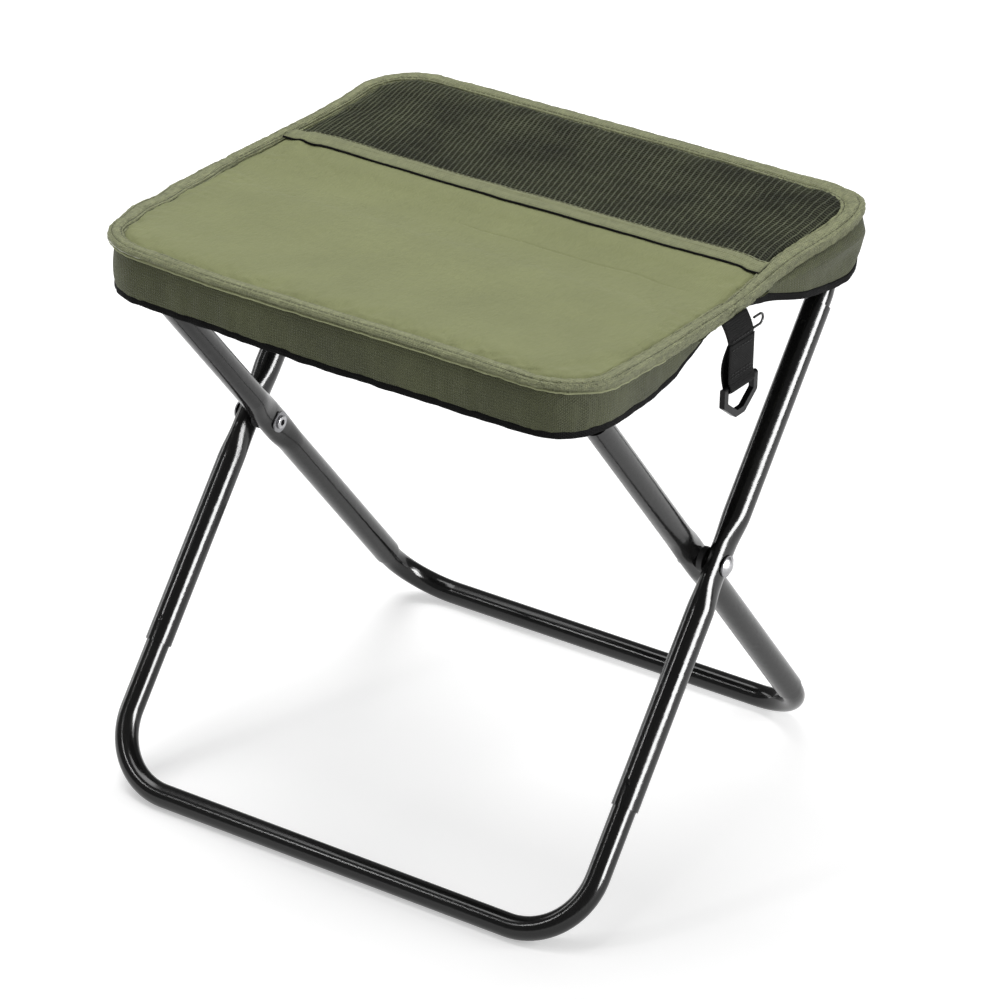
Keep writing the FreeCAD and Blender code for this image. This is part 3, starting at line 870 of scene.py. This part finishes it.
def skirt(half, side):
    """The cloth side of a half, olive outside and black inside, gathered under the rim."""
    x, v, nx, nv, run, low = skirt_stations(side)
    down = np.linspace(0, 1, 15)[None, :]
    foot = np.minimum(low + 1.4, SKIRT_TOP_N - 0.6)
    height = SKIRT_TOP_N + (foot - SKIRT_TOP_N) * down
    out = skirt_out(side, x, v, nx, down, run)
    outside = to_world(side, x + nx * out, v + nv * out, height)
    inside = to_world(side, x + nx * (out - SKIRT_T), v + nv * (out - SKIRT_T), height)
    sections = np.concatenate([outside, inside[:, ::-1]], axis=1)
    # the olive outside is darkened as painted shade
    piece = sweep(half + "_side_skirt", sections, [olive_skirt_shaded, black_cloth],
                  slot_of=lambda column: int(column >= down.shape[1] - 1))
    attach(piece, half + "_seat", "skirt_fabric", half + "_skirt")
    squash_skirt(piece, side)


def binding(half, side):
    """Black tape folded over the skirt's lower edge."""
    x, v, nx, nv, run, low = skirt_stations(side)
    angle = np.linspace(0, 2 * math.pi, 12, endpoint=False)[None, :]
    across = squarish(np.cos(angle), BINDING_SQUARE) * 1.2
    tall = BINDING_H * (1 + 0.4 * ease((-v - 75) / 25) * (side == REAR))
    tall = np.clip(SKIRT_TOP_N + 0.6 - low, 1.2, tall)
    up = squarish(np.sin(angle), BINDING_SQUARE) * tall / 2
    out = skirt_out(side, x, v, nx, 1.0, run) - SKIRT_T / 2 + across * (1 + 0.2 * wave(run, 5, 77))
    height = low + tall / 2 + up + 0.25 * wave(run, 9, 78)
    piece = sweep(half + "_edge_binding", to_world(side, x + nx * out, v + nv * out, height), [black_tape])
    attach(piece, half + "_seat", "binding_tape", half + "_binding")
    squash_skirt(piece, side)


# ---- underside

LINING_INSET = 7.4  # the lining ends inside the skirt
LINING_START = 16.0  # and this far from the fold line


def lining(half, side):
    """Black cloth under the board, a little slack, drawn up towards the fold line."""
    x, v = panel_grid(90, 60, LINING_INSET, FOLD_V + LINING_START)
    sag = ripple(x, v, 9, 16, 31 + side) * 0.10 + ripple(x, v, 30, 40, 33 + side) * 0.12 - 0.12
    height = np.maximum(LINING_N + 0.3 + sag, folded_floor(v) + 0.6)
    piece = shell(half + "_under_cloth", to_world(side, x, v, height, lifted=False),
                  to_world(side, x, v, height - 0.35, lifted=False), [black_cloth])
    attach(piece, half + "_seat", "lining_fabric", half + "_lining")


def sleeve(half, side):
    """Cloth channel that wraps the seat bar, sewn to the lining by a flap each side."""
    half_x = sleeve_points[:, 0].max()
    bore = -sleeve_points[:, 2].min() - 0.6
    flap = sleeve_points[:, 1].max()
    turn = np.linspace(math.radians(18), math.radians(-198), 30)
    flap_v = np.linspace(flap, bore + 1.6, 6)
    flap_n = np.full(6, LINING_N - 0.55)
    v = np.concatenate([flap_v, bore * np.cos(turn), -flap_v[::-1]])
    n = np.concatenate([flap_n, bore * np.sin(turn), flap_n])
    along = np.linspace(-half_x, half_x, 150)[:, None]
    tangent = directions(np.stack([v, n], axis=-1))
    outward = np.stack([tangent[:, 1], -tangent[:, 0]], axis=-1)
    if outward[len(v) // 2, 1] > 0:
        outward = -outward
    around = np.arange(len(v))[None, :]
    rough = np.abs(ripple(along, around, 6, 4, 51 + side)) * 0.5 * np.exp(-((around - 20.5) / 11) ** 4)
    outside, inside = (
        to_world(side, along, v + outward[:, 0] * shift, n + outward[:, 1] * shift, lifted=False)
        for shift in (0.55 + rough, np.full_like(rough, -0.25)))
    piece = sweep(half + "_bar_sleeve", np.concatenate([outside, inside[:, ::-1]], axis=1), [black_cloth])
    attach(piece, half + "_seat", "lining_fabric", half + "_sleeve")
    rows = []
    for v_row in (flap - 1.5, 1.5 - flap):
        line = to_world(side, np.linspace(-half_x + 2, half_x - 2, 60), v_row, LINING_N - 1.15, lifted=False)
        rows += stitch_row(line)
    tubes(half + "_sleeve_stitches", half + "_seat", "lining_fabric", rows, 0.3, black_thread)


# ---- mesh pocket

NET_INSET = CUSHION_INSET + 0.6
RIB_PITCH = 3.3  # between the net's ribs
THREAD_PITCH = 2.1  # between the threads that cross them


def hem_v(x, share):
    """Place of the hem band, from its front edge at share 0 to its back edge at 1."""
    points = half_points("pocket_hem", REAR)
    near, far = points[:, 1].min(), points[:, 1].max()
    sag = 2.5 * (1 - (x / HALF_X) ** 2)
    return near - sag + 1.5 + (far - near) * share + 0.4 * wave(x, 30, 91)


def pocket(cushion_piece):
    """Net over the back of the rear half: dark ground, raised ribs and fine cross threads."""
    drape = Drape(cushion_piece)
    start_v = hem_v(np.array(0.0), 0.6)
    x, v = panel_grid(100, 48, CUSHION_INSET + 0.4, start_v)
    slack = (0.6 + 0.35 * ripple(x, v, 40, 30, 92)) * ease(edge_distance(x, v, CUSHION_INSET) / 9)
    ground = drape.lay(to_world(REAR, x, v, COVER_TOP), 0)
    ground[..., 2] += slack
    under = ground - np.array([0, 0, 0.35])
    net = shell("pocket_net", ground, under, [net_dark])
    attach(net, "rear_seat", "pocket_mesh", "mesh_pocket")
    over_net = Drape(net)
    x_side, v_edge, _ = sewn_edge(NET_INSET)
    ribs = []
    rib_v = np.linspace(start_v + 0.5, v_edge, 44)
    rib_reach = half_width(rib_v, NET_INSET)
    for number, foot in enumerate(np.arange(-x_side - 2, x_side + 30, RIB_PITCH)):
        lean = 0.21 - 0.13 * (foot / x_side) ** 2
        rib_x = foot - (rib_v - start_v) * lean + 0.25 * wave(rib_v, 2.6, 300 + number)
        inside = np.abs(rib_x) < rib_reach
        if inside.sum() > 4:
            ribs.append(over_net.lay(to_world(REAR, rib_x[inside], rib_v[inside], COVER_TOP), 0.22))
    # ribs and cross threads: their lighter, uneven tone is partly painted highlight
    tubes("pocket_net_ribs", "rear_seat", "pocket_mesh", ribs, 0.5, net_rib_and_highlight, around=6, flat=0.75)
    threads = []
    for thread_v in np.arange(start_v + 1, v_edge - 1, THREAD_PITCH):
        width = half_width(thread_v, NET_INSET)
        thread_x = np.arange(-width, width, 2.4)
        line = to_world(REAR, thread_x, thread_v + 0.3 * wave(thread_x, 3, 93), COVER_TOP)
        threads.append(over_net.lay(line, 0.08))
    tubes("pocket_net_cross_threads", "rear_seat", "pocket_mesh", threads, 0.24, net_rib_and_highlight)
    return net


def hem(cushion_piece, net):
    """Hem band along the pocket's open side, with a thin black strip along its front edge."""
    drape = Drape(cushion_piece, net)
    half_x = half_points("pocket_hem", REAR)[:, 0].max()
    x = np.linspace(-half_x, half_x, 160)[None, :]
    share = np.linspace(0, 1, 14)[:, None]
    v = hem_v(x, share)
    crown = np.sin(math.pi * share) ** 0.4 * 0.9
    laid = drape.lay(to_world(REAR, np.clip(x, -half_x + 7, half_x - 7), v, COVER_TOP), 0)[..., 2]
    level = laid.max(axis=0, keepdims=True) * 0.3 + laid * 0.7
    top = to_world(REAR, x, v, COVER_TOP)
    top[..., 2] = np.maximum(level, laid) + 0.25 + crown
    under = top.copy()
    under[..., 2] -= crown + 0.15
    band = shell("pocket_hem_band", top, under, [olive_hem])
    attach(band, "rear_seat", "pocket_hem", "pocket_hem")
    line = top[0] + np.array([0, -0.5, -0.15])
    tubes("pocket_edge_black_strip", "rear_seat", "binding_tape", [line], 0.8, black_tape, around=8, flat=0.6)
    row = stitch_row(top[11] + np.array([0, 0, 0.1]))
    tubes("pocket_hem_stitches", "rear_seat", "pocket_hem", row, 0.26, olive_thread)


# ---- strap

WEBBING_T = 1.2
TAB_T = 2.4  # the tab is doubled
WRAP = 2.55  # from the ring bar's centre to the middle of the webbing
GAP = 0.75  # from the strap's middle to that of each layer


def strap_place(across, along, z):
    """Points of the strap, whose width lies along y, yawed a little about its middle."""
    across, along, z = np.broadcast_arrays(across, along, z)
    x = RING_BAR.x + across * math.cos(STRAP_YAW) + along * math.sin(STRAP_YAW)
    y = -across * math.sin(STRAP_YAW) + along * math.cos(STRAP_YAW)
    return np.stack([x, y, z], axis=-1)


def strip(name, path, reach, thickness, material):
    """Woven strip that follows a path of (across, z) points, with thin rounded sides."""
    path = np.asarray(path, float)
    tangent = directions(path)
    normal = np.stack([-tangent[:, 1], tangent[:, 0]], axis=-1)
    widths = np.linspace(-1, 1, 15)
    profile = [(w * reach, thickness / 2 * (1 - abs(w) ** 8 * 0.7)) for w in widths]
    profile += [(w, -t) for w, t in reversed(profile)]
    sections = []
    for place, out in zip(path, normal):
        spots = [strap_place(place[0] + out[0] * t, w, place[1] + out[1] * t) for w, t in profile]
        sections.append(np.stack(spots))
    return sweep(name, sections, [material])


def strap():
    """Doubled webbing round the ring's bar, below a sewn tab that goes up under the rim."""
    low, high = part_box("strap_webbing")
    reach = (high.y - low.y) / 2 / MM - 0.1
    top_z = high.z / MM
    front = [(GAP, z) for z in np.linspace(top_z + 0.3, RING_BAR.z + 5, 14)]
    front += [(GAP + (WRAP - GAP) * ease(t), RING_BAR.z + 5 - 5 * t) for t in np.linspace(0.2, 0.95, 5)]
    turn = [(WRAP * math.cos(a), RING_BAR.z - WRAP * math.sin(a)) for a in np.linspace(0, math.pi, 13)]
    rise = np.linspace(0.05, 1, 16)
    back = [(-WRAP - 2.4 * math.sin(math.pi * t) + (WRAP - GAP) * ease(t),
             RING_BAR.z + t * (top_z + 0.2 - RING_BAR.z)) for t in rise]
    webbing = strip("strap_webbing_loop", front + turn + back, reach, WEBBING_T, webbing_black)
    attach(webbing, "strap", "strap_webbing", "strap_webbing")
    seam = np.linspace(-reach + 2, reach - 2, 20)
    rows = []
    for z in (RING_BAR.z + 6.5, RING_BAR.z + 8.5, top_z - 3.0):
        rows += stitch_row(strap_place(1.42, seam, z), 2.0, 0.8)
    tubes("strap_stitches", "strap", "strap_webbing", rows, 0.28, black_thread)
    tab_low, tab_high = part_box("strap_tab")
    z = np.linspace(tab_low.z / MM, tab_high.z / MM + 2.5, 14)
    lean = [(-5.2 * ((place - z[0]) / (z[-1] - z[0])) ** 1.5, place) for place in z]
    tab = strip("strap_sewn_tab", lean, reach, TAB_T, webbing_black)
    attach(tab, "strap_tab", "strap_webbing", "strap_tab")
    row = stitch_row(strap_place(1.25, seam, z[2]), 2.0, 0.8)
    tubes("strap_tab_stitches", "strap_tab", "strap_webbing", row, 0.28, black_thread)


# ---- scene setup

CAMERA_PLACE = (1.2736, -1.9781, 1.46165)
CAMERA_AIM = (32.45, 28.69, 0.997)  # azimuth, elevation and roll, in degrees
CAMERA_LENS = 167.55
FLOOR_GREY = (0.78, 0.78, 0.78, 1)
GLOW = 0.31  # the floor's own light, as the camera sees it
GLOW_UNDER_SEAT = 0.5  # what it gains in the seat's shade
GLOW_FAR = 0.4  # and where it runs out of the lamps' reach


def place_camera():
    camera = bpy.data.objects.new("camera", bpy.data.cameras.new("camera"))
    camera.data.lens = CAMERA_LENS
    camera.data.sensor_width = 36.0
    camera.data.clip_end = 50.0
    azimuth, elevation, roll = (math.radians(angle) for angle in CAMERA_AIM)
    camera.matrix_world = (Matrix.Translation(CAMERA_PLACE) @ Matrix.Rotation(azimuth, 4, "Z")
                           @ Matrix.Rotation(math.pi / 2 - elevation, 4, "X") @ Matrix.Rotation(roll, 4, "Z"))
    bpy.context.scene.collection.objects.link(camera)
    bpy.context.scene.camera = camera


def area_light(name, place, size, power, gloss_only=False):
    data = bpy.data.lights.new(name, "AREA")
    data.shape = "RECTANGLE"
    data.size, data.size_y = size
    data.energy = power
    light = bpy.data.objects.new(name, data)
    light.location = place
    light.rotation_euler = (Vector((0, 0, 0.2)) - Vector(place)).to_track_quat("-Z", "Y").to_euler()
    light.visible_diffuse = not gloss_only
    bpy.context.scene.collection.objects.link(light)


def studio_world():
    """White all round for the camera, softer for the light it casts, dark in the gloss."""
    world = bpy.data.worlds.new("studio")
    world.use_nodes = True
    tree = world.node_tree
    tree.nodes.clear()
    path = tree.nodes.new("ShaderNodeLightPath")
    output = tree.nodes.new("ShaderNodeOutputWorld")
    seen = None
    for ray, strength in ((None, 0.42), ("Is Glossy Ray", 0.16), ("Is Camera Ray", 1.0)):
        shader = tree.nodes.new("ShaderNodeBackground")
        shader.inputs[0].default_value = (1, 1, 1, 1)
        shader.inputs[1].default_value = strength
        if ray is not None:
            mix = tree.nodes.new("ShaderNodeMixShader")
            tree.links.new(path.outputs[ray], mix.inputs[0])
            tree.links.new(seen.outputs[0], mix.inputs[1])
            tree.links.new(shader.outputs[0], mix.inputs[2])
            shader = mix
        seen = shader
    tree.links.new(seen.outputs[0], output.inputs["Surface"])
    bpy.context.scene.world = world


def floor_and_light():
    size = 6.0
    corners = [(-size, -size, 0), (size, -size, 0), (size, size, 0), (-size, size, 0)]
    floor = mesh_object("floor", np.array(corners) / MM, [(0, 1, 2, 3)], [])
    shader = Shader("studio_floor")
    bounced = shader.add("LightPath").outputs["Is Diffuse Ray"]

    def fade(gradient, **mapping):
        mapped = shader.add("Mapping", {"Vector": shader.place, **mapping}).outputs[0]
        return shader.add("TexGradient", {"Vector": mapped}, gradient_type=gradient).outputs[1]

    under_seat = fade("QUADRATIC_SPHERE", Location=(-0.15, -0.2, 0), Scale=(3, 3, 3))
    far = shader.math("SUBTRACT", 1.0, fade("SPHERICAL", Scale=(0.5, 0.5, 0.5)))
    glow = shader.scaled(under_seat, GLOW_UNDER_SEAT, GLOW)
    glow = shader.math("ADD", glow, shader.math("MULTIPLY", far, GLOW_FAR))
    glow = shader.math("MULTIPLY", glow, shader.math("SUBTRACT", 1.0, bounced))
    shader.link(glow, shader.principled.inputs["Emission Strength"])
    floor.data.materials.append(shader.finish(FLOOR_GREY, 0.95, None, Specular_IOR_Level=0.0,
                                              Emission_Color=(1, 1, 1, 1)))
    studio_world()
    area_light("key", (-0.5, 0.05, 2.4), (1.5, 1.5), 39)
    area_light("low_front", (-1.2, -1.6, 1.7), (0.22, 0.22), 4.0)
    area_light("fill_right", (2.1, 0.8, 1.1), (0.8, 0.8), 17)
    area_light("gloss_right", (2.3, -0.25, 0.75), (1.6, 0.85), 135, gloss_only=True)
    area_light("gloss_left", (-1.9, -0.2, 0.7), (0.35, 1.6), 8, gloss_only=True)
    scene = bpy.context.scene
    scene.view_settings.view_transform = "Standard"
    scene.view_settings.look = "None"
    scene.view_settings.exposure = 0.0


# ---- the stool

place_camera()
floor_and_light()
dress_nodes()
cushions = {}
for half_name, half_side in SIDES.items():
    cushions[half_name] = cushion(half_name, half_side)
    rim(half_name, half_side)
    skirt(half_name, half_side)
    binding(half_name, half_side)
    lining(half_name, half_side)
    sleeve(half_name, half_side)
piping("front", FRONT)
hem(cushions["rear"], pocket(cushions["rear"]))
strap()
